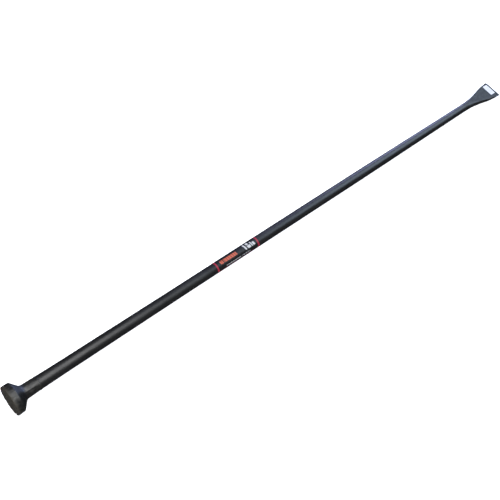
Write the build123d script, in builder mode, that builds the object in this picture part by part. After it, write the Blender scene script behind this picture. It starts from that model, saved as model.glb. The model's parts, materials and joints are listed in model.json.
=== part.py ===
"""One-man digging and tamping bar: a tapered round steel bar with a forged tamper head at the
thick end, a flared chisel blade at the thin end, a wrap label at mid-length and a blade sticker.

The bar lies on the ground as it would when put down, along +X from head to blade, with +Z up and
the blade's flats level from side to side. It rests on the rim of the head and on the thin end of
the bar, where the wedge starts, so its axis slopes down by about a degree and the edge stays clear
of the ground. The origin is on the ground, below the middle of the bar.
"""
import os
from math import asin, atan2, cos, degrees, hypot, radians, sin, tan

from build123d import *

# ---- overall sizes, mm ----
overall_length = 1524.0  # striking face to chisel edge, 60 in

# ---- shaft: it swells behind the head, eases to a slim waist and is drawn down to the blade ----
shaft_root_diameter = 31.8  # at the tamper head
swell_length = 60.0  # from the head's weld
swell_end_diameter = 30.0
waist_station = 450.0  # from the striking face: here the taper eases
waist_diameter = 27.1
draw_length = 375.0  # drawn-down end, back from the blade's weld
draw_start_diameter = 25.4
shaft_tip_diameter = 20.8  # at the chisel blade

# ---- tamper head ----
face_diameter = 72.6
rim_height = 18.3
rim_draft = 3.5  # degrees, the rim narrows away from the face
rim_face_round = 3.0  # edge between the striking face and the rim
rim_back_round = 2.5  # edge between the rim and the cone
cone_end_station = 34.2  # where the cone's straight flank would meet the neck
neck_diameter = 33.6  # just above the cone
neck_round = 8.0  # fillet between cone and neck
head_length = 70.5  # striking face to the weld
head_spigot_diameter = 16.0
head_spigot_length = 22.0

# ---- chisel blade ----
blade_width = 52.4  # at the edge, before its corners are rounded, 2 in nominal
flare_station = 70.0  # from the edge: corner where the straight bar turns into the flare
knee_station = 39.0  # from the edge: corner where the flare eases into the flanks
knee_width = 42.4
flare_radius = 185.0
knee_radius = 105.0
flare_room = 0.75  # the most of the flare that its first curve may take up
wedge_length = 116.0  # from the edge to where the flats run out
root_land = 3.0  # plain round stretch between the wedge and the shaft
blend_setback = 5.0  # the round bar starts to square up this far past the start of the wedge
forging_blend_radius = 255.0  # how fast it squares up into the blade
root_swell = 0.5  # the straight flanks stand this far out from the bar
bevel_length = 4.0
heel_thickness = 4.6  # at the top of the ground bevel
edge_thickness = 1.8
edge_corner_radius = 2.5
blade_tang_diameter = 9.0
blade_tang_length = 30.0

# ---- joints between the steel pieces ----
spigot_clearance = 0.1  # round the spigot and the tang
spigot_end_gap = 1.0
neck_weld_depth = 3.0
neck_weld_width = 5.0
neck_weld_crown = 0.35
blade_weld_depth = 2.4
blade_weld_width = 4.0

# ---- label on the shaft ----
label_start = 552.0  # from the striking face
label_length = 127.0
label_wrap = 160.0  # degrees round the shaft
label_turn = 7.5  # degrees, its middle is turned this far from the top towards -Y
label_thickness = 0.15
adhesive_thickness = 0.02  # under the label and under the sticker

# ---- sticker on the upper face of the blade ----
sticker_length = 16.0  # along the bar
sticker_width = 33.0
sticker_corner_radius = 1.2
sticker_setback = 2.5  # from the top of the bevel
sticker_offset = 2.5  # off centre, towards +Y
sticker_thickness = 0.15

os.makedirs("parts", exist_ok=True)

# ---- stations along the bar, from the striking face ----
blade_length = wedge_length + root_land
blade_station = overall_length - blade_length
wedge_station = overall_length - wedge_length
heel_station = overall_length - bevel_length
head_joint_radius = shaft_root_diameter / 2
blade_joint_radius = shaft_tip_diameter / 2


shaft_profile = [
    (head_length, head_joint_radius),
    (head_length + swell_length, swell_end_diameter / 2),
    (waist_station, waist_diameter / 2),
    (blade_station - draw_length, draw_start_diameter / 2),
    (blade_station, blade_joint_radius),
]


def shaft_radius(station):
    """Radius of the shaft at a distance from the striking face."""
    for (start, start_radius), (end, end_radius) in zip(shaft_profile, shaft_profile[1:]):
        if station <= end:
            break
    share = (station - start) / (end - start)
    return start_radius + share * (end_radius - start_radius)


# ---- how the bar lies ----
draft = radians(rim_draft)
round_centre = face_diameter / 2 - rim_face_round * (1 + sin(draft)) / cos(draft)


def resting_slope(station, radius):
    """Slope of the axis when the rim's round and this point of the underside touch the ground."""
    run = station - rim_face_round
    rise = round_centre - radius
    return atan2(rise, run) + asin(rim_face_round / hypot(run, rise))


slope = min(
    resting_slope(wedge_station, blade_joint_radius),
    resting_slope(heel_station, heel_thickness / 2),
)
axis_height = rim_face_round * sin(slope) + round_centre * cos(slope) + rim_face_round
face_centre = Vector(-overall_length / 2 * cos(slope), 0, axis_height)
along = Vector(cos(slope), 0, -sin(slope))
upward = Vector(sin(slope), 0, cos(slope))

# Both planes have the bar's axis as their local X, with the striking face at zero.
side_plane = Plane(origin=face_centre, x_dir=along, z_dir=(0, -1, 0))
plan_plane = Plane(origin=face_centre, x_dir=along, z_dir=upward)
bar_axis = Axis(face_centre, along)

print(f"axis slope {degrees(slope):.3f} deg, face centre {axis_height:.2f} mm above the ground")

# ---- shaft: round bar with a spigot for the head and a tang for the blade ----
neck_weld_half = neck_weld_width / 2
blade_weld_half = blade_weld_width / 2
with BuildPart() as shaft:
    with BuildSketch(side_plane):
        with BuildLine():
            Polyline(
                (head_length - head_spigot_length, 0),
                (head_length - head_spigot_length, head_spigot_diameter / 2),
                (head_length, head_spigot_diameter / 2),
                (head_length, head_joint_radius - neck_weld_depth),
                (head_length + neck_weld_half, shaft_radius(head_length + neck_weld_half)),
                *shaft_profile[1:-1],
                (blade_station - blade_weld_half, shaft_radius(blade_station - blade_weld_half)),
                (blade_station, blade_joint_radius - blade_weld_depth),
                (blade_station, blade_tang_diameter / 2),
                (blade_station + blade_tang_length, blade_tang_diameter / 2),
                (blade_station + blade_tang_length, 0),
                close=True,
            )
        make_face()
    revolve(axis=bar_axis)
shaft.part.label = "shaft"
export_step(shaft.part, "parts/shaft.step")

# ---- tamper head: forged disc, cone and neck, bored for the shaft's spigot ----
shoulder_radius = face_diameter / 2 - rim_height * sin(draft) / cos(draft)
neck_taper = (neck_diameter / 2 - head_joint_radius) / (head_length - cone_end_station)
neck_end_radius = head_joint_radius + neck_taper * neck_weld_half
head_bore_radius = head_spigot_diameter / 2 + spigot_clearance
head_bore_end = head_length - head_spigot_length - spigot_end_gap
with BuildPart() as tamper_head:
    with BuildSketch(side_plane):
        with BuildLine():
            head_outline = FilletPolyline(
                (0, 0),
                (0, face_diameter / 2),
                (rim_height, shoulder_radius),
                (cone_end_station, neck_diameter / 2),
                (head_length - neck_weld_half, neck_end_radius),
                radius=(rim_face_round, rim_back_round, neck_round),
            )
            Polyline(
                head_outline @ 1,
                (head_length, head_joint_radius - neck_weld_depth),
                (head_length, head_bore_radius),
                (head_bore_end, head_bore_radius),
                (head_bore_end, 0),
                head_outline @ 0,
            )
        make_face()
    revolve(axis=bar_axis)
tamper_head.part.label = "tamper_head"
export_step(tamper_head.part, "parts/tamper_head.step")

# ---- weld ring that fills the V groove between head and shaft, slightly crowned ----
shaft_toe_radius = shaft_radius(head_length + neck_weld_half)
with BuildPart() as neck_weld:
    with BuildSketch(side_plane):
        with BuildLine():
            Polyline(
                (head_length - neck_weld_half, neck_end_radius),
                (head_length, head_joint_radius - neck_weld_depth),
                (head_length + neck_weld_half, shaft_toe_radius),
            )
            ThreePointArc(
                (head_length - neck_weld_half, neck_end_radius),
                (head_length, head_joint_radius + neck_weld_crown),
                (head_length + neck_weld_half, shaft_toe_radius),
            )
        make_face()
    revolve(axis=bar_axis)
neck_weld.part.label = "neck_weld"
export_step(neck_weld.part, "parts/neck_weld.step")

# ---- chisel blade: plan outline, cut to the wedge, then to the round bar's blend ----
def eased(radius, turn, room):
    """Radius at a corner of the flank that turns by this angle, limited by its straight runs."""
    return min(radius, room / tan(abs(turn) / 2))


flat_run = wedge_length - bevel_length
flat_rise = (shaft_tip_diameter - heel_thickness) / 2
wedge_root = blade_joint_radius + flat_rise / flat_run * root_land
flank_root = blade_joint_radius + root_swell
blend_length = wedge_length - blend_setback
flare_run = flare_station - knee_station
flare_turn = atan2(knee_width / 2 - flank_root, flare_run)
knee_turn = flare_turn - atan2((blade_width - knee_width) / 2, knee_station)
flare_fillet = eased(flare_radius, flare_turn, flare_room * flare_run)
knee_fillet = eased(knee_radius, knee_turn, (1 - flare_room) * flare_run)
blade_bore_radius = blade_tang_diameter / 2 + spigot_clearance
with BuildPart() as chisel_blade:
    with BuildSketch(plan_plane):
        with BuildLine():
            flank = FilletPolyline(
                (blade_station, flank_root),
                (overall_length - flare_station, flank_root),
                (overall_length - knee_station, knee_width / 2),
                (overall_length, blade_width / 2),
                (overall_length, 0),
                radius=(flare_fillet, knee_fillet, edge_corner_radius),
            )
            Polyline(flank @ 1, (blade_station, 0), flank @ 0)
        make_face()
        mirror(about=Plane.XZ)
    extrude(amount=shaft_tip_diameter, both=True)
    with BuildSketch(side_plane):
        with BuildLine():
            Polyline(
                (blade_station, 0),
                (blade_station, wedge_root),
                (heel_station, heel_thickness / 2),
                (overall_length, edge_thickness / 2),
                (overall_length, 0),
                close=True,
            )
        make_face()
        mirror(about=Plane.XZ)
    extrude(amount=blade_width, both=True, mode=Mode.INTERSECT)
    with BuildSketch(side_plane):
        with BuildLine():
            root = Line(
                (blade_station + blade_weld_half, blade_joint_radius),
                (overall_length - blend_length, blade_joint_radius),
            )
            blend_turn = degrees(asin(blend_length / forging_blend_radius))
            blend = JernArc(root @ 1, root % 1, forging_blend_radius, blend_turn)
            Polyline(
                blend @ 1,
                (overall_length, 0),
                (blade_station + blade_tang_length + spigot_end_gap, 0),
                (blade_station + blade_tang_length + spigot_end_gap, blade_bore_radius),
                (blade_station, blade_bore_radius),
                (blade_station, blade_joint_radius - blade_weld_depth),
                root @ 0,
            )
        make_face()
    revolve(axis=bar_axis, mode=Mode.INTERSECT)
chisel_blade.part.label = "chisel_blade"
export_step(chisel_blade.part, "parts/chisel_blade.step")

# ---- weld ring at the root of the blade, ground flush ----
with BuildPart() as blade_weld:
    with BuildSketch(side_plane):
        with BuildLine():
            Polyline(
                (blade_station - blade_weld_half, shaft_radius(blade_station - blade_weld_half)),
                (blade_station, blade_joint_radius - blade_weld_depth),
                (blade_station + blade_weld_half, blade_joint_radius),
                (blade_station, blade_joint_radius),
                close=True,
            )
        make_face()
    revolve(axis=bar_axis)
blade_weld.part.label = "blade_weld"
export_step(blade_weld.part, "parts/blade_weld.step")

# ---- wrap label: printed film that follows the taper of the shaft ----
label_end = label_start + label_length
label_breaks = [station for station, radius in shaft_profile if label_start < station < label_end]
label_stations = [label_start, *label_breaks, label_end]
label_inner = [(s, shaft_radius(s) + adhesive_thickness) for s in label_stations]
label_outer = [(s, radius + label_thickness) for s, radius in reversed(label_inner)]
label_edge_turn = label_turn - label_wrap / 2
label_edge_normal = side_plane.z_dir.rotate(Axis((0, 0, 0), along), label_edge_turn)
label_edge_plane = Plane(origin=face_centre, x_dir=along, z_dir=label_edge_normal)
with BuildPart() as wrap_label:
    with BuildSketch(label_edge_plane):
        with BuildLine():
            Polyline(*label_inner, *label_outer, close=True)
        make_face()
    revolve(axis=bar_axis, revolution_arc=label_wrap)
wrap_label.part.label = "wrap_label"
export_step(wrap_label.part, "parts/wrap_label.step")

# ---- blade sticker: rounded paper label on the blade's upper flat ----
flat_slope = degrees(atan2(flat_rise, flat_run))
heel_edge = face_centre + along * heel_station + upward * (heel_thickness / 2)
flat_plane = Plane(origin=heel_edge, x_dir=along, z_dir=upward).rotated((0, flat_slope, 0))
with BuildPart() as blade_sticker:
    with BuildSketch(flat_plane.offset(adhesive_thickness)):
        with Locations((-sticker_setback - sticker_length / 2, sticker_offset)):
            RectangleRounded(sticker_length, sticker_width, sticker_corner_radius)
    extrude(amount=sticker_thickness)
blade_sticker.part.label = "blade_sticker"
export_step(blade_sticker.part, "parts/blade_sticker.step")
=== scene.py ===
"""Looks of the digging and tamping bar: its steel pieces, label and sticker, on a pale floor."""
import json
from math import atan2, cos, hypot, pi, radians, sin, tan

import bmesh
import bpy
from mathutils import Matrix, Vector


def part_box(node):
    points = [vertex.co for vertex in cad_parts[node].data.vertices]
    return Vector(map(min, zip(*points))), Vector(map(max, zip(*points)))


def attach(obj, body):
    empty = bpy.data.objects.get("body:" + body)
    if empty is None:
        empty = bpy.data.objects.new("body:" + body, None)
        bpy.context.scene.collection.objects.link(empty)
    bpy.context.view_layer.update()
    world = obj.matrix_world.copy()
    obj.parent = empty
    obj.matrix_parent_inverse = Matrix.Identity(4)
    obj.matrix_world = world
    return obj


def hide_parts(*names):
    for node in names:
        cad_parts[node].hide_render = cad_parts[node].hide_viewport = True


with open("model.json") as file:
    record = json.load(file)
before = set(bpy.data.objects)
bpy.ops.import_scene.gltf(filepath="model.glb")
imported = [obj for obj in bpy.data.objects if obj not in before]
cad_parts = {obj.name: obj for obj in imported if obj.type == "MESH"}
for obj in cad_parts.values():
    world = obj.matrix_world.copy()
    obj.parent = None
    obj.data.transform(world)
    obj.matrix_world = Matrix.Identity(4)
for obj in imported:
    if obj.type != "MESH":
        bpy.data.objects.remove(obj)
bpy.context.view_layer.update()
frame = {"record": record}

# ---------------------------------------------------------------- where the bar lies
# The striking face's mount gives the bar's axis. Pieces are modelled straight along X, with the
# striking face at zero and the blade's upper flat towards +Z, and are then laid in the frame.
mounts = {mount["name"]: mount for mount in frame["record"]["mounts"]}
face_centre = Vector(mounts["striking_face"]["pos_m"])
along = -Vector(mounts["striking_face"]["axis"])
across = Vector((0, 1, 0))
upward = along.cross(across)
bar_place = Matrix.Translation(face_centre) @ Matrix((along, across, upward)).transposed().to_4x4()


def station(x):
    """Distance along the bar of a place that the frame gives by its X."""
    return (x - face_centre.x) / along.x


def start(node):
    """Station where a node begins, on the head's side."""
    return station(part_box(node)[0].x)


def end(node):
    """Station where a node ends, on the blade's side."""
    return station(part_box(node)[1].x)


def girth(node):
    """Widest radius of a node, read across the bar."""
    low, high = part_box(node)
    return (high.y - low.y) / 2


edge = end("chisel_blade")
head_joint = (start("neck_weld") + end("neck_weld")) / 2
blade_joint = (start("blade_weld") + end("blade_weld")) / 2
root_radius = girth("shaft")
tip_radius = girth("blade_weld")


# The shaft swells behind the head, eases to a slim waist and is drawn down to the blade.
swell_length = 0.060
swell_end_radius = 0.0150
waist_station = 0.450
waist_radius = 0.01355
draw_length = 0.375
draw_start_radius = 0.0127
shaft_profile = [
    (head_joint, root_radius),
    (head_joint + swell_length, swell_end_radius),
    (waist_station, waist_radius),
    (blade_joint - draw_length, draw_start_radius),
    (blade_joint, tip_radius),
]


def shaft_radius(s):
    """Radius of the shaft at a station, on the straight runs of its profile."""
    for (low, low_radius), (high, high_radius) in zip(shaft_profile, shaft_profile[1:]):
        if s <= high:
            break
    return low_radius + (s - low) / (high - low) * (high_radius - low_radius)


# ---------------------------------------------------------------- camera
# The head is the nearer end: the bar points away from the camera and is rolled a little, so that
# the blade's upper flat shows.
turned_away = radians(24.2)
rolled = radians(22.5)
view_tilt = radians(32.99)
aim_station = 0.6538
aim_below = 0.0083
camera_distance = 2.342
lens_per_sensor_width = 1.98

facing = cos(rolled) * upward - sin(rolled) * across
downhill = -cos(rolled) * across - sin(rolled) * upward
reading = cos(turned_away) * along + sin(turned_away) * facing
into = sin(turned_away) * along - cos(turned_away) * facing
camera_right = cos(view_tilt) * reading + sin(view_tilt) * downhill
camera_up = sin(view_tilt) * reading - cos(view_tilt) * downhill
aim = face_centre + along * aim_station + downhill * aim_below
camera_data = bpy.data.cameras.new("camera")
camera_data.sensor_width = 36
camera_data.lens = lens_per_sensor_width * camera_data.sensor_width
camera_data.clip_end = 100
camera = bpy.data.objects.new("camera", camera_data)
camera_turn = Matrix((camera_right, camera_up, -into)).transposed().to_4x4()
camera.matrix_world = Matrix.Translation(aim - into * camera_distance) @ camera_turn
bpy.context.scene.collection.objects.link(camera)
bpy.context.scene.camera = camera


# ---------------------------------------------------------------- modelling helpers
def deselect():
    bpy.ops.object.select_all(action="DESELECT")


def outwards(turn):
    """Direction out from the bar's axis at a turn round it, from its upper side to its near side."""
    return Vector((0, -sin(turn), cos(turn)))


def pick_vertices(piece, wanted):
    """In edit mode, selects just the vertices whose place passes the test."""
    mesh = bmesh.from_edit_mesh(piece.data)
    for vertex in mesh.verts:
        vertex.select = bool(wanted(vertex.co))
    mesh.select_flush_mode()
    mesh.select_flush(True)
    bmesh.update_edit_mesh(piece.data)


def pick_edges(piece, wanted):
    """In edit mode, selects just the edges whose two ends pass the test."""
    bpy.ops.mesh.select_all(action="DESELECT")
    mesh = bmesh.from_edit_mesh(piece.data)
    for link in mesh.edges:
        if wanted(link.verts[0].co, link.verts[1].co):
            link.select_set(True)
    bmesh.update_edit_mesh(piece.data)


def outline(corners, rounds, step=radians(9)):
    """Points of a line of straight runs whose inner corners are rounded by arcs."""
    points = [Vector(corners[0])]
    for before, corner, after, radius in zip(corners, corners[1:], corners[2:], rounds):
        here = Vector(corner)
        back = (Vector(before) - here).normalized()
        onward = (Vector(after) - here).normalized()
        turn = pi - back.angle(onward)
        reach = radius * tan(turn / 2)
        middle = here + (back + onward).normalized() * radius / cos(turn / 2)
        steps = max(2, round(turn / step))
        first = here + back * reach - middle
        last = here + onward * reach - middle
        for i in range(steps + 1):
            share = i / steps
            spoke = first * sin((1 - share) * turn) + last * sin(share * turn)
            points.append(middle + spoke / sin(turn))
    points.append(Vector(corners[-1]))
    return points


def turned(name, profile, sides):
    """A closed piece turned on the bar's axis. A ring is carried along its profile of stations
    and radii, and is scaled as it goes."""
    deselect()
    s, r = profile[0]
    bpy.ops.mesh.primitive_circle_add(
        vertices=sides, radius=r, fill_type="NGON", location=(s, 0, 0), rotation=(0, pi / 2, 0)
    )
    piece = bpy.context.object
    piece.name = name
    bpy.ops.object.transform_apply(location=True, rotation=True, scale=True)
    bpy.ops.object.mode_set(mode="EDIT")
    bpy.ops.mesh.select_all(action="SELECT")
    for s_next, r_next in profile[1:]:
        bpy.ops.mesh.extrude_region_move(TRANSFORM_OT_translate={"value": (s_next - s, 0, 0)})
        grow = r_next / r
        bpy.ops.transform.resize(value=(1, grow, grow), center_override=(s_next, 0, 0))
        s, r = s_next, r_next
    bpy.ops.mesh.select_all(action="SELECT")
    bpy.ops.mesh.normals_make_consistent(inside=False)
    bpy.ops.object.mode_set(mode="OBJECT")
    return piece


def roughened(piece, depth, grain, name):
    """Forging marks: the surface is moved in and out by a soft noise, and the result is kept."""
    texture = bpy.data.textures.new(name, "CLOUDS")
    texture.noise_scale = grain
    texture.noise_depth = 2
    displace = piece.modifiers.new(name, "DISPLACE")
    displace.texture = texture
    displace.texture_coords = "LOCAL"
    displace.strength = depth
    displace.mid_level = 0.5
    bpy.context.view_layer.objects.active = piece
    bpy.ops.object.modifier_apply(modifier=displace.name)


def finished(piece, finish, node, crease=35):
    """Lays the piece in the frame, smooths its shading and lets it stand for its CAD node."""
    piece.matrix_world = bar_place @ piece.matrix_world
    deselect()
    piece.select_set(True)
    bpy.context.view_layer.objects.active = piece
    bpy.ops.object.transform_apply(location=True, rotation=True, scale=True)
    bpy.ops.object.shade_smooth_by_angle(angle=radians(crease))
    piece.data.materials.clear()
    piece.data.materials.append(finish)
    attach(piece, "root")
    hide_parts(node)
    return piece


# ---------------------------------------------------------------- material helpers
class Finish:
    """A material and short ways to add the nodes that its pattern needs."""

    def __init__(self, name):
        self.material = bpy.data.materials.new(name)
        self.material.use_nodes = True
        self.tree = self.material.node_tree
        self.shader = self.tree.nodes["Principled BSDF"]

    def node(self, kind, **settings):
        made = self.tree.nodes.new(kind)
        for key, value in settings.items():
            setattr(made, key, value)
        return made

    def join(self, source, target):
        self.tree.links.new(source, target)

    def feed(self, socket, value):
        """Links an output to the socket, or sets the socket to a number or colour."""
        if isinstance(value, bpy.types.NodeSocket):
            self.join(value, socket)
        else:
            socket.default_value = value

    def bar_coordinates(self, stretch=(1, 1, 1)):
        """Object coordinates turned onto the bar: X is the distance from the striking face."""
        source = self.node("ShaderNodeTexCoord")
        onto_bar = self.node("ShaderNodeMapping", vector_type="TEXTURE")
        onto_bar.inputs["Location"].default_value = face_centre
        onto_bar.inputs["Rotation"].default_value = bar_place.to_euler()
        self.join(source.outputs["Object"], onto_bar.inputs["Vector"])
        if stretch == (1, 1, 1):
            return onto_bar.outputs["Vector"]
        stretched = self.node("ShaderNodeMapping")
        stretched.inputs["Scale"].default_value = stretch
        self.join(onto_bar.outputs["Vector"], stretched.inputs["Vector"])
        return stretched.outputs["Vector"]

    def noise(self, vector, scale, detail=3.0, roughness=0.55):
        made = self.node("ShaderNodeTexNoise")
        made.inputs["Scale"].default_value = scale
        made.inputs["Detail"].default_value = detail
        made.inputs["Roughness"].default_value = roughness
        self.join(vector, made.inputs["Vector"])
        return made.outputs["Fac"]

    def maths(self, operation, a, b=0.0, c=0.0, clamp=False):
        made = self.node("ShaderNodeMath", operation=operation, use_clamp=clamp)
        for socket, value in zip(made.inputs, (a, b, c)):
            self.feed(socket, value)
        return made.outputs["Value"]

    def between(self, value, low, high, out_low, out_high):
        """Carries a value from one range to another, and holds it at the ends."""
        made = self.node("ShaderNodeMapRange")
        made.inputs["From Min"].default_value = low
        made.inputs["From Max"].default_value = high
        made.inputs["To Min"].default_value = out_low
        made.inputs["To Max"].default_value = out_high
        self.join(value, made.inputs["Value"])
        return made.outputs["Result"]

    def inside(self, value, low, high):
        """One where the value lies between low and high, otherwise zero."""
        return self.maths("COMPARE", value, (low + high) / 2, (high - low) / 2)

    def both(self, *masks):
        result = masks[0]
        for mask in masks[1:]:
            result = self.maths("MULTIPLY", result, mask)
        return result

    def either(self, *masks):
        result = masks[0]
        for mask in masks[1:]:
            result = self.maths("MAXIMUM", result, mask)
        return result

    def blend(self, share, under, over):
        """Colour that goes from under to over as the share goes from zero to one."""
        made = self.node("ShaderNodeMix", data_type="RGBA")
        self.feed(made.inputs["Factor"], share)
        self.feed(made.inputs["A"], under)
        self.feed(made.inputs["B"], over)
        return made.outputs["Result"]

    def bump(self, height, strength, distance, normal=None):
        made = self.node("ShaderNodeBump")
        made.inputs["Strength"].default_value = strength
        made.inputs["Distance"].default_value = distance
        self.join(height, made.inputs["Height"])
        if normal is not None:
            self.join(normal, made.inputs["Normal"])
        return made.outputs["Normal"]

    def surface(self, colour, roughness, normal, **constants):
        self.feed(self.shader.inputs["Base Color"], colour)
        self.feed(self.shader.inputs["Roughness"], roughness)
        if normal is not None:
            self.join(normal, self.shader.inputs["Normal"])
        for key, value in constants.items():
            self.feed(self.shader.inputs[key.replace("_", " ")], value)
        return self.material


def grey(value, blue=1.0):
    return (value, value, value * blue, 1)


# ---------------------------------------------------------------- finishes
def rolled_bar_paint():
    """Satin black paint over a rolled bar: faint mill lines along it, orange peel, dust and rubs."""
    finish = Finish("rolled_bar_paint")
    plain = finish.bar_coordinates()
    lengthwise = finish.bar_coordinates(stretch=(14, 420, 420))
    clouds = finish.noise(plain, scale=26, detail=4)
    lines = finish.noise(lengthwise, scale=1, detail=4, roughness=0.6)
    peel = finish.noise(plain, scale=1100, detail=2)
    dust = finish.noise(plain, scale=900, detail=2, roughness=0.7)
    specks = finish.between(dust, 0.68, 0.78, 0, 1)
    long_marks = finish.noise(lengthwise, scale=0.55, detail=3, roughness=0.7)
    rubs = finish.between(long_marks, 0.62, 0.72, 0, 1)
    colour = finish.blend(clouds, grey(0.005), grey(0.010))
    colour = finish.blend(finish.maths("MULTIPLY", rubs, 0.35), colour, grey(0.03))
    colour = finish.blend(finish.maths("MULTIPLY", specks, 0.4), colour, grey(0.06))
    wear = finish.maths("ADD", clouds, finish.maths("MULTIPLY", rubs, 0.5))
    roughness = finish.between(wear, 0.3, 1.1, 0.36, 0.52)
    normal = finish.bump(lines, strength=0.12, distance=0.0006)
    normal = finish.bump(peel, strength=0.10, distance=0.0003, normal=normal)
    normal = finish.bump(clouds, strength=0.25, distance=0.0012, normal=normal)
    return finish.surface(colour, roughness, normal)


def forged_paint():
    """Black paint over forged scale: pits and hammer marks, a brownish striking face and rim edge,
    and on the head's cone a painted blue reflection on its upper side and painted shade below it."""
    finish = Finish("forged_paint")
    dark_paint = grey(0.003)
    pale_paint = (0.016, 0.016, 0.014, 1)
    chip_brown = (0.06, 0.056, 0.05, 1)
    scuff_brown = (0.045, 0.043, 0.036, 1)
    # Painted reflection: blue on the cone's upper side, standing in for the blue light that side
    # reflects.
    painted_blue_reflection = (0.026, 0.032, 0.049, 1)
    # Painted shade: a darker black for the cone's near, lower side.
    painted_shade_colour = grey(0.004)
    # Brown tint of the striking face and the edge of the rim next to it.
    face_brown_dark = (0.026, 0.023, 0.016, 1)
    face_brown_pale = (0.060, 0.053, 0.040, 1)
    fray = 0.010
    # Stations over which the brown tint fades out, from the face onto the rim.
    face_brown_reach = (-0.0045, 0.0040)
    # Reach of the painted blue reflection: stations from the face, then turns round the bar from its
    # far side to its near side.
    painted_reflection_begins = (0.0150, 0.0200)
    painted_reflection_stops = (0.0350, 0.0440)
    painted_reflection_far_side = (-1.0, -0.5)
    painted_reflection_near_side = (0.42, 0.62)
    # Reach of the painted shade on the cone: stations from the face, then how far round towards its
    # near side.
    painted_shade_begins = (0.0165, 0.0200)
    painted_shade_stops = (0.0330, 0.0400)
    painted_shade_near_side = (0.42, 0.75)
    plain = finish.bar_coordinates()
    place = finish.node("ShaderNodeSeparateXYZ")
    finish.join(plain, place.inputs["Vector"])
    from_face = place.outputs["X"]
    broad = finish.noise(plain, scale=70, detail=4)
    scale = finish.noise(plain, scale=260, detail=5, roughness=0.65)
    lumps = finish.noise(plain, scale=135, detail=3, roughness=0.5)
    grit = finish.noise(plain, scale=1500, detail=3, roughness=0.7)
    drawn_out = finish.bar_coordinates(stretch=(40, 330, 330))
    streaks = finish.noise(drawn_out, scale=1, detail=4, roughness=0.6)
    # Mask of the brown tint on the striking face and rim edge, with a ragged border.
    frayed = finish.maths("MULTIPLY_ADD", broad, -fray, from_face)
    face_brown = finish.between(frayed, *face_brown_reach, 1, 0)
    face_brown = finish.maths("MULTIPLY", face_brown, finish.between(scale, 0.3, 0.6, 0.55, 1))
    towards_near = finish.maths("MULTIPLY", place.outputs["Y"], -1.0)
    turn = finish.maths("ARCTAN2", towards_near, place.outputs["Z"])
    ragged = finish.maths("MULTIPLY_ADD", broad, 0.5, turn)
    # Painted reflection mask: the cone's upper side, where it would reflect the blue light.
    painted_reflection = finish.both(
        finish.between(from_face, *painted_reflection_begins, 0, 1),
        finish.between(from_face, *painted_reflection_stops, 1, 0),
        finish.between(ragged, *painted_reflection_far_side, 0, 1),
        finish.between(ragged, *painted_reflection_near_side, 1, 0),
        finish.between(scale, 0.30, 0.62, 0.45, 1),
    )
    # Painted shade mask: the cone's near, lower side.
    painted_shade = finish.both(
        finish.between(from_face, *painted_shade_begins, 0, 1),
        finish.between(from_face, *painted_shade_stops, 1, 0),
        finish.between(ragged, *painted_shade_near_side, 0, 1),
    )
    chips = finish.between(grit, 0.66, 0.74, 0, 0.5)
    scuffs = finish.between(streaks, 0.60, 0.72, 0, 0.6)
    colour = finish.blend(finish.between(lumps, 0.3, 0.7, 0, 1), dark_paint, pale_paint)
    colour = finish.blend(chips, colour, chip_brown)
    colour = finish.blend(scuffs, colour, scuff_brown)
    # The painted shade laid over the paint.
    colour = finish.blend(painted_shade, colour, painted_shade_colour)
    # The painted blue reflection laid over the paint.
    colour = finish.blend(painted_reflection, colour, painted_blue_reflection)
    # The brown tint of the striking face laid over all.
    colour = finish.blend(face_brown, colour, finish.blend(grit, face_brown_dark, face_brown_pale))
    roughness = finish.between(finish.maths("ADD", face_brown, broad), 0.3, 1.4, 0.38, 0.68)
    shine = finish.between(painted_shade, 0, 1, 0.5, 0.34)
    normal = finish.bump(broad, strength=0.6, distance=0.0022)
    normal = finish.bump(lumps, strength=0.5, distance=0.0013, normal=normal)
    normal = finish.bump(scale, strength=0.3, distance=0.0005, normal=normal)
    normal = finish.bump(grit, strength=0.2, distance=0.0002, normal=normal)
    return finish.surface(colour, roughness, normal, Specular_IOR_Level=shine)


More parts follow.
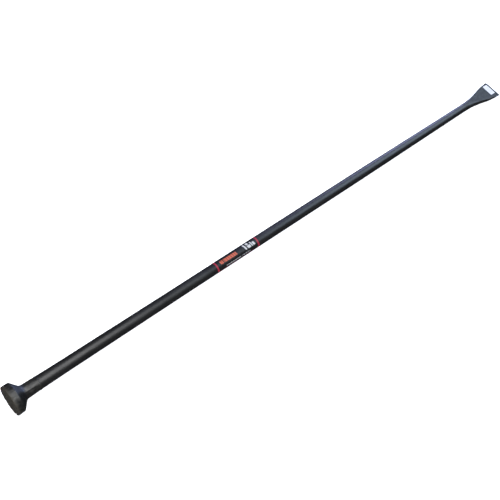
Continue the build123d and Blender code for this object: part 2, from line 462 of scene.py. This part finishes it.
def printed_film(length, width):
    """Black label with a red border, an orange row of slanted blocks, white blocks and a dashed
    line. Its UV map runs along the bar and then round it, and is read in millimetres here."""
    finish = Finish("printed_film")
    border_red = (0.26, 0.014, 0.030, 1)
    row_orange = (0.42, 0.085, 0.045, 1)
    block_white = (0.46, 0.46, 0.47, 1)
    long = length * 1000
    wide = width * 1000
    source = finish.node("ShaderNodeTexCoord")
    in_millimetres = finish.node("ShaderNodeMapping")
    in_millimetres.inputs["Scale"].default_value = (long, wide, 1)
    finish.join(source.outputs["UV"], in_millimetres.inputs["Vector"])
    split = finish.node("ShaderNodeSeparateXYZ")
    finish.join(in_millimetres.outputs["Vector"], split.inputs["Vector"])
    u = split.outputs["X"]
    v = split.outputs["Y"]
    lean = 0.2
    slanted = finish.maths("MULTIPLY_ADD", v, lean, u)

    def block(place, low, high, foot, top):
        return finish.both(finish.inside(place, low, high), finish.inside(v, foot, top))

    def row(place, pitch, filled, low, high, foot, top):
        shares = finish.maths("FRACT", finish.maths("DIVIDE", place, pitch))
        return finish.both(finish.inside(shares, 0, filled), block(place, low, high, foot, top))

    end_margin = 0.6
    end_stripe = 4.3
    side_margin = 0.3
    side_stripe = 0.8
    end_inner = end_margin + end_stripe
    side_inner = side_margin + side_stripe
    border = finish.maths(
        "SUBTRACT",
        block(u, low=end_margin, high=long - end_margin, foot=side_margin, top=wide - side_margin),
        block(u, low=end_inner, high=long - end_inner, foot=side_inner, top=wide - side_inner),
        clamp=True,
    )
    row_foot = 14.4
    row_top = 23.2
    orange = finish.either(
        row(slanted, pitch=4.5, filled=0.84, low=18.0, high=26.5, foot=row_foot, top=row_top),
        row(slanted, pitch=6.3, filled=0.86, low=28.6, high=66.6, foot=row_foot, top=row_top),
    )
    block_foot = 12.0
    block_top = 27.2
    blocks = finish.either(
        block(slanted, low=90.2, high=94.4, foot=block_foot, top=block_top),
        block(slanted, low=98.0, high=106.8, foot=block_foot, top=19.2),
        block(slanted, low=98.6, high=104.6, foot=20.8, top=block_top),
        block(slanted, low=109.3, high=112.3, foot=block_foot, top=24.6),
        block(slanted, low=114.0, high=119.4, foot=block_foot, top=21.0),
    )
    dash_foot = 4.7
    dash_top = 6.1
    dashes = finish.either(
        row(u, pitch=6.4, filled=0.8, low=27.4, high=70.4, foot=dash_foot, top=dash_top),
        row(u, pitch=6.4, filled=0.8, low=74.1, high=98.5, foot=dash_foot, top=dash_top),
    )
    fade = finish.noise(finish.bar_coordinates(), scale=420, detail=3, roughness=0.6)
    colour = finish.blend(fade, grey(0.005), grey(0.009, 1.1))
    colour = finish.blend(border, colour, border_red)
    colour = finish.blend(orange, colour, row_orange)
    colour = finish.blend(finish.either(blocks, dashes), colour, block_white)
    roughness = finish.between(fade, 0.3, 0.7, 0.3, 0.42)
    waves = finish.noise(finish.bar_coordinates(), scale=90, detail=2)
    normal = finish.bump(waves, strength=0.15, distance=0.0006)
    return finish.surface(colour, roughness, normal)


def coated_paper():
    """White sticker with faint grey printed bars and a slightly handled surface."""
    finish = Finish("coated_paper")
    handled_white = (0.55, 0.52, 0.52, 1)
    clean_white = (0.66, 0.62, 0.61, 1)
    bar_count = 19
    source = finish.node("ShaderNodeTexCoord")
    split = finish.node("ShaderNodeSeparateXYZ")
    finish.join(source.outputs["UV"], split.inputs["Vector"])
    u = split.outputs["X"]
    v = split.outputs["Y"]
    handled = finish.noise(finish.bar_coordinates(), scale=500, detail=4, roughness=0.6)
    bars = finish.maths("FRACT", finish.maths("MULTIPLY", v, bar_count))
    comb = finish.both(
        finish.inside(bars, 0, 0.45),
        finish.inside(u, 0.22, 0.5),
        finish.inside(v, 0.12, 0.62),
    )
    line = finish.both(finish.inside(u, 0.62, 0.7), finish.inside(v, 0.12, 0.8))
    colour = finish.blend(handled, handled_white, clean_white)
    faint = finish.maths("MULTIPLY", finish.either(comb, line), 0.5)
    colour = finish.blend(faint, colour, grey(0.35))
    roughness = finish.between(handled, 0.3, 0.7, 0.42, 0.55)
    normal = finish.bump(handled, strength=0.1, distance=0.0002)
    return finish.surface(colour, roughness, normal)


# ---------------------------------------------------------------- tamper head
face_radius = 0.0363
face_crown = 0.00005
centre_ring = 0.004
face_rings = (0.010, 0.016, 0.022, 0.027)
face_flat_share = 0.86
face_round = 0.003
rim_height = 0.0183
rim_draft = radians(3.5)
rim_round = 0.0028
cone_end = 0.0342
neck_radius = 0.0168
neck_round = 0.009
ring_spacing = 0.0022

flash_side = outwards(radians(31))
flash_start = 0.036
flash_end = 0.058
flash_reach = radians(2.5)
flash_height = 0.0007
flash_spread = 0.003

# Each knock on the rim: its turn round the bar in degrees, its depth and how far it spreads.
rim_knocks = (
    (20, 0.0012, 0.0045),
    (-65, 0.0009, 0.0060),
    (140, 0.0012, 0.0050),
    (75, 0.0007, 0.0070),
    (-150, 0.0010, 0.0050),
)
knock_from_face = 0.0008
knock_from_rim = 0.001
knock_core = 0.002
knock_slant = 0.6


def on_flash(p):
    """True along the line on the neck where the forging dies closed."""
    return flash_start < p.x < flash_end and Vector((0, p.y, p.z)).angle(flash_side) < flash_reach


def tamper_head(finish):
    """Forged disc, cone and neck, with a closing flash along the neck and knocks on the rim."""
    corners = [
        (0, face_radius * face_flat_share),
        (0, face_radius),
        (rim_height, face_radius - rim_height * tan(rim_draft)),
        (cone_end, neck_radius),
        (head_joint, root_radius),
    ]
    rounds = (face_round, rim_round, neck_round)
    rings = [(-face_crown, centre_ring)] + [(0, radius) for radius in face_rings]
    rings += [tuple(point) for point in outline(corners, rounds, step=radians(7))]
    filled = []
    for (s0, r0), (s1, r1) in zip(rings, rings[1:]):
        steps = max(1, round(hypot(s1 - s0, r1 - r0) / ring_spacing))
        for i in range(steps):
            filled.append((s0 + (s1 - s0) * i / steps, r0 + (r1 - r0) * i / steps))
    piece = turned("tamper_head", filled + [rings[-1]], sides=160)
    bpy.ops.object.mode_set(mode="EDIT")
    pick_vertices(piece, on_flash)
    bpy.ops.transform.translate(
        value=flash_side * flash_height,
        use_proportional_edit=True,
        proportional_edit_falloff="SHARP",
        proportional_size=flash_spread,
    )
    for turn, depth, spread in rim_knocks:
        knock_side = outwards(radians(turn))
        spot = Vector((knock_from_face, 0, 0)) + knock_side * (face_radius - knock_from_rim)
        pick_vertices(piece, lambda p: (p - spot).length < knock_core)
        bpy.ops.transform.translate(
            value=Vector((depth * knock_slant, 0, 0)) - knock_side * depth,
            use_proportional_edit=True,
            proportional_edit_falloff="SMOOTH",
            proportional_size=spread,
        )
    bpy.ops.object.mode_set(mode="OBJECT")
    roughened(piece, depth=0.0007, grain=0.011, name="hammer_marks")
    roughened(piece, depth=0.00022, grain=0.003, name="forge_scale")
    return finished(piece, finish, node="tamper_head", crease=60)


# ---------------------------------------------------------------- shaft and welds
def shaft(finish):
    """The tapered bar between the two welds, with its ends closed inside them."""
    steps = 120
    closed_past = 0.0004
    closed_step = 0.0006
    closed_share = 0.4
    head_end = head_joint - closed_past
    blade_end = blade_joint + closed_past
    profile = [(head_end, root_radius * closed_share), (head_end, root_radius - closed_step)]
    for i in range(steps + 1):
        s = head_joint + (blade_joint - head_joint) * i / steps
        profile.append((s, shaft_radius(s)))
    profile += [(blade_end, tip_radius - closed_step), (blade_end, tip_radius * closed_share)]
    piece = turned("shaft", profile, sides=128)
    roughened(piece, depth=0.00012, grain=0.03, name="mill_waves")
    return finished(piece, finish, node="shaft", crease=40)


def weld_ring(name, joint, radius_before, radius_after, reach, crown, ripple, finish):
    """A ring of weld metal over the groove, sunk at its toes, with the ripples of its beads."""
    steps = 14
    toe = 0.0006
    sunk = 0.0008
    profile = [(joint - reach - toe, radius_before - sunk)]
    for i in range(steps + 1):
        share = i / steps
        under = radius_before + share * (radius_after - radius_before)
        s = joint - reach + 2 * reach * share
        profile.append((s, under + crown * sin(pi * share)))
    profile.append((joint + reach + toe, radius_after - sunk))
    piece = turned(name, profile, sides=144)
    roughened(piece, depth=ripple, grain=0.0022, name=name + "_ripples")
    return finished(piece, finish, node=name, crease=60)


# ---------------------------------------------------------------- chisel blade
def smooth_step(low, high, value):
    """Goes from zero to one as the value goes from low to high, level at both ends."""
    share = min(1, max(0, (value - low) / (high - low)))
    return share * share * (3 - 2 * share)


flank_start = 0.125
flare_from_edge = 0.070
flare_round = 0.185
knee_from_edge = 0.039
knee_half = 0.0212
knee_round = 0.105
edge_half = 0.0262
past_edge = 0.001
root_swell = 0.0005
swell_fades_from = 0.098
swell_gone_by = 0.118
wedge_from_edge = 0.116
bevel_from_edge = 0.004
heel_half = 0.0023
edge_half_thickness = 0.0009
far_corner = 0.0050
near_corner = 0.0022
small_arris = 0.0009
arris_grows_from = 0.055
arris_full_by = 0.117
flat_kept_to = 0.115
flank_line = outline(
    [
        (flank_start, tip_radius + root_swell),
        (flare_from_edge, tip_radius + root_swell),
        (knee_from_edge, knee_half),
        (-past_edge, edge_half + past_edge * (edge_half - knee_half) / knee_from_edge),
    ],
    (flare_round, knee_round),
    step=radians(1),
)


def flank(from_edge, corner_radius):
    """Half width of the blade at a distance from its edge, on the side with this corner."""
    for after, before in zip(flank_line, flank_line[1:]):
        if before.x <= from_edge <= after.x:
            share = (from_edge - before.x) / (after.x - before.x)
            half = before.y + share * (after.y - before.y)
            break
    if from_edge < corner_radius:
        rest = corner_radius - from_edge
        half -= corner_radius - (corner_radius ** 2 - rest ** 2) ** 0.5
    return half - root_swell * smooth_step(swell_fades_from, swell_gone_by, from_edge)


def half_thickness(from_edge):
    """Half thickness of the blade: a bevel behind the edge, then a long wedge up to the bar."""
    if from_edge < bevel_from_edge:
        share = from_edge / bevel_from_edge
        return edge_half_thickness + share * (heel_half - edge_half_thickness)
    share = (from_edge - bevel_from_edge) / (wedge_from_edge - bevel_from_edge)
    return min(tip_radius, heel_half + share * (tip_radius - heel_half))


def arris(from_edge, half_width, half_thick):
    """Radius of the blade's long edges: the whole bar's at the root, small in the wedge."""
    share = smooth_step(arris_grows_from, arris_full_by, from_edge)
    radius = small_arris + (tip_radius - small_arris) * share
    if from_edge < flat_kept_to:
        half_thick *= 0.98
    return min(radius, half_width * 0.999, half_thick)


blade_root = 0.1200
root_length = 0.022
root_steps = 8
wedge_stop = 0.009
wedge_steps = 24
tip_stops = (
    0.0075, 0.0058, 0.0047, 0.0041, 0.0036, 0.0030,
    0.0023, 0.0016, 0.0010, 0.0005, 0.0002, 0,
)
same_stop = 0.00002


def chisel_blade(finish):
    """A ring of four rounded corners is carried from the round root to the chisel edge. At each
    stop every corner is scaled about its own middle and moved out to the section's new size."""
    wedge_start = blade_root - root_length
    stops = [blade_root - root_length * i / root_steps for i in range(1, root_steps + 1)]
    for i in range(1, wedge_steps + 1):
        stops.append(wedge_start + (wedge_stop - wedge_start) * i / wedge_steps)
    stops += tip_stops
    sides = 56
    deselect()
    s = edge - blade_root
    bpy.ops.mesh.primitive_circle_add(
        vertices=sides, radius=tip_radius, fill_type="NGON", location=(s, 0, 0), rotation=(0, pi / 2, 0)
    )
    piece = bpy.context.object
    piece.name = "chisel_blade"
    bpy.ops.object.transform_apply(location=True, rotation=True, scale=True)
    bpy.ops.object.mode_set(mode="EDIT")
    bpy.ops.mesh.select_all(action="SELECT")
    bpy.ops.transform.rotate(value=pi / sides, orient_axis="X", center_override=(s, 0, 0))
    corners = [(side, face) for side in (1, -1) for face in (1, -1)]
    radius = {corner: tip_radius for corner in corners}
    middle = {corner: Vector((s, 0, 0)) for corner in corners}
    for from_edge in stops:
        step = Vector((edge - from_edge - s, 0, 0))
        bpy.ops.mesh.extrude_region_move(TRANSFORM_OT_translate={"value": step})
        s = edge - from_edge
        thick = half_thickness(from_edge)
        for side, face in corners:
            wide = flank(from_edge, far_corner if side > 0 else near_corner)
            new_radius = arris(from_edge, wide, thick)
            new_middle = Vector((s, side * (wide - new_radius), face * (thick - new_radius)))
            old_middle = middle[side, face] + step
            grow = new_radius / radius[side, face]
            pick_vertices(
                piece, lambda p: p.x > s - same_stop and p.y * side > 0 and p.z * face > 0
            )
            bpy.ops.transform.resize(value=(1, grow, grow), center_override=old_middle)
            bpy.ops.transform.translate(value=new_middle - old_middle)
            radius[side, face] = new_radius
            middle[side, face] = new_middle
        pick_vertices(piece, lambda p: p.x > s - same_stop)
    pick_edges(piece, lambda p, q: p.y * q.y < 0)
    bpy.ops.mesh.subdivide(number_cuts=15)
    pick_edges(piece, lambda p, q: p.z * q.z < 0)
    bpy.ops.mesh.subdivide(number_cuts=3)
    bpy.ops.mesh.select_all(action="SELECT")
    bpy.ops.mesh.normals_make_consistent(inside=False)
    bpy.ops.object.mode_set(mode="OBJECT")
    roughened(piece, depth=0.00035, grain=0.012, name="hammer_waves")
    roughened(piece, depth=0.00010, grain=0.003, name="blade_scale")
    return finished(piece, finish, node="chisel_blade", crease=40)


# ---------------------------------------------------------------- label and sticker
label_from = start("wrap_label")
label_to = end("wrap_label")
label_wrap = radians(160)
label_turn = radians(7.5)
film = 0.00015
adhesive = 0.00002


def map_along_and_round(piece, low, high, turn_low, turn_high):
    """UV map: along the bar, then round it from the near edge to the far edge."""
    layer = piece.data.uv_layers.active or piece.data.uv_layers.new(name="UVMap")
    for loop in piece.data.loops:
        p = piece.data.vertices[loop.vertex_index].co
        turn = atan2(-p.y, p.z)
        layer.data[loop.index].uv = (
            (p.x - low) / (high - low),
            (turn_high - turn) / (turn_high - turn_low),
        )


def wrap_label(finish):
    """An open tube cut to the label's arc, tapered like the shaft and given its thickness."""
    sides = 288
    slack = 0.001
    cuts_along = 47
    lift = adhesive + film
    turn_low = label_turn - label_wrap / 2
    turn_high = label_turn + label_wrap / 2
    radius = shaft_radius(label_from) + lift
    taper = (shaft_radius(label_to) + lift) / radius
    middle = (label_from + label_to) / 2
    deselect()
    bpy.ops.mesh.primitive_cylinder_add(
        vertices=sides,
        radius=radius,
        depth=label_to - label_from,
        end_fill_type="NOTHING",
        location=(middle, 0, 0),
        rotation=(0, pi / 2, 0),
    )
    piece = bpy.context.object
    piece.name = "wrap_label"
    piece.matrix_world = Matrix.Rotation(turn_low, 4, "X") @ piece.matrix_world
    bpy.ops.object.transform_apply(location=True, rotation=True, scale=True)
    bpy.ops.object.mode_set(mode="EDIT")
    pick_vertices(
        piece, lambda p: not turn_low - slack < atan2(-p.y, p.z) < turn_high + slack
    )
    bpy.ops.mesh.delete(type="VERT")
    pick_vertices(piece, lambda p: p.x > middle)
    bpy.ops.transform.resize(value=(1, taper, taper), center_override=(label_to, 0, 0))
    pick_edges(piece, lambda p, q: abs(p.x - q.x) > slack)
    bpy.ops.mesh.subdivide(number_cuts=cuts_along)
    bpy.ops.mesh.select_all(action="SELECT")
    bpy.ops.mesh.normals_make_consistent(inside=False)
    bpy.ops.object.mode_set(mode="OBJECT")
    first = piece.data.polygons[0]
    if first.normal.dot(Vector((0, first.center.y, first.center.z))) < 0:
        bpy.ops.object.mode_set(mode="EDIT")
        bpy.ops.mesh.flip_normals()
        bpy.ops.object.mode_set(mode="OBJECT")
    map_along_and_round(piece, label_from, label_to, turn_low, turn_high)
    wall = piece.modifiers.new("wall", "SOLIDIFY")
    wall.thickness = film
    wall.offset = -1
    bpy.ops.object.modifier_apply(modifier=wall.name)
    return finished(piece, finish, node="wrap_label", crease=40)


def blade_sticker(finish):
    """A small sheet with rounded corners, pressed onto the blade's upper flat."""
    length = 0.016
    width = 0.033
    setback = 0.0025
    offset = 0.0025
    corner_round = 0.0012
    inset = 0.0003
    lift = 0.0003
    flat_slope = atan2(tip_radius - heel_half, wedge_from_edge - bevel_from_edge)
    deselect()
    bpy.ops.mesh.primitive_plane_add(size=1)
    piece = bpy.context.object
    piece.name = "blade_sticker"
    piece.scale = (length, width, 1)
    bpy.ops.object.transform_apply(location=True, rotation=True, scale=True)
    bpy.ops.object.mode_set(mode="EDIT")
    bpy.ops.mesh.select_all(action="SELECT")
    bpy.ops.mesh.bevel(
        offset=corner_round, offset_type="OFFSET", segments=6, affect="VERTICES"
    )
    bpy.ops.object.mode_set(mode="OBJECT")
    layer = piece.data.uv_layers.active or piece.data.uv_layers.new(name="UVMap")
    for loop in piece.data.loops:
        p = piece.data.vertices[loop.vertex_index].co
        layer.data[loop.index].uv = (p.x / length + 0.5, p.y / width + 0.5)
    bpy.ops.object.mode_set(mode="EDIT")
    bpy.ops.mesh.select_all(action="SELECT")
    bpy.ops.mesh.inset(thickness=inset)
    bpy.ops.object.mode_set(mode="OBJECT")
    piece.location = (-setback - length / 2, offset, lift)
    bpy.ops.object.transform_apply(location=True, rotation=False, scale=False)
    wall = piece.modifiers.new("wall", "SOLIDIFY")
    wall.thickness = film
    wall.offset = -1
    bpy.ops.object.modifier_apply(modifier=wall.name)
    piece.rotation_euler = (0, flat_slope, 0)
    piece.location = (edge - bevel_from_edge, 0, heel_half)
    bpy.ops.object.transform_apply(location=True, rotation=True, scale=False)
    return finished(piece, finish, node="blade_sticker", crease=40)


bar_finish = rolled_bar_paint()
forge_finish = forged_paint()
tamper_head(forge_finish)
shaft(bar_finish)
weld_ring(
    "neck_weld",
    joint=head_joint,
    radius_before=root_radius + 0.0001,
    radius_after=root_radius,
    reach=0.0025,
    crown=0.0004,
    ripple=0.0003,
    finish=forge_finish,
)
chisel_blade(forge_finish)
weld_ring(
    "blade_weld",
    joint=blade_joint,
    radius_before=tip_radius,
    radius_after=tip_radius,
    reach=0.002,
    crown=0.00004,
    ripple=0.00005,
    finish=bar_finish,
)
label_width = label_wrap * (shaft_radius(label_from) + shaft_radius(label_to)) / 2
wrap_label(printed_film(label_to - label_from, label_width))
blade_sticker(coated_paper())


# ---------------------------------------------------------------- floor and light
floor_drop = 0.0004
floor_size = 60
floor_glow = 0.75


def pale_floor():
    """A wide pale floor a hair below the bar, bright enough of itself to have no grey edge."""
    finish = Finish("pale_floor")
    finish.surface((0.93, 0.93, 0.93, 1), 0.8, None, Specular_IOR_Level=0.1)
    finish.shader.inputs["Emission Color"].default_value = (1, 1, 1, 1)
    finish.shader.inputs["Emission Strength"].default_value = floor_glow
    deselect()
    bpy.ops.mesh.primitive_plane_add(size=floor_size, location=(0, 0, -floor_drop))
    floor = bpy.context.object
    floor.name = "floor"
    floor.data.materials.append(finish.material)
    floor.visible_glossy = False


def soft_light(name, place, target, size, power, colour=(1, 1, 1)):
    """A rectangular soft light at a place, turned to a target, unseen by the camera."""
    data = bpy.data.lights.new(name, "AREA")
    data.shape = "RECTANGLE"
    data.size, data.size_y = size
    data.energy = power
    data.color = colour
    lamp = bpy.data.objects.new(name, data)
    lamp.location = place
    lamp.rotation_euler = (Vector(target) - Vector(place)).to_track_quat("-Z", "Y").to_euler()
    lamp.visible_camera = False
    bpy.context.scene.collection.objects.link(lamp)


def studio_walls():
    """Pale walls for the camera, which add only a faint light of their own."""
    lit_strength = 0.04
    seen_strength = 0.9
    world = bpy.data.worlds.new("studio")
    bpy.context.scene.world = world
    world.use_nodes = True
    background = world.node_tree.nodes["Background"]
    background.inputs["Color"].default_value = (0.9, 0.95, 1, 1)
    ray = world.node_tree.nodes.new("ShaderNodeLightPath")
    strength = world.node_tree.nodes.new("ShaderNodeMapRange")
    strength.inputs["To Min"].default_value = lit_strength
    strength.inputs["To Max"].default_value = seen_strength
    world.node_tree.links.new(ray.outputs["Is Camera Ray"], strength.inputs["Value"])
    world.node_tree.links.new(strength.outputs["Result"], background.inputs["Strength"])


cool_light = (0.64, 0.80, 1.0)
window_blue = (0.52, 0.58, 1.0)
pale_floor()
soft_light(
    "head_softbox", place=(-0.70, -0.36, 1.6), target=(-0.70, -0.36, 0), size=(1.3, 1.8), power=43
)
soft_light(
    "blade_softbox",
    place=(1.95, -0.25, 1.6),
    target=(1.95, -0.25, 0),
    size=(2.2, 1.9),
    power=70,
    colour=cool_light,
)
soft_light(
    "window_card",
    place=(2.05, 1.75, 0.85),
    target=(2.05, 0, 0),
    size=(1.4, 1.5),
    power=60,
    colour=window_blue,
)
studio_walls()
bpy.context.scene.view_settings.view_transform = "Standard"
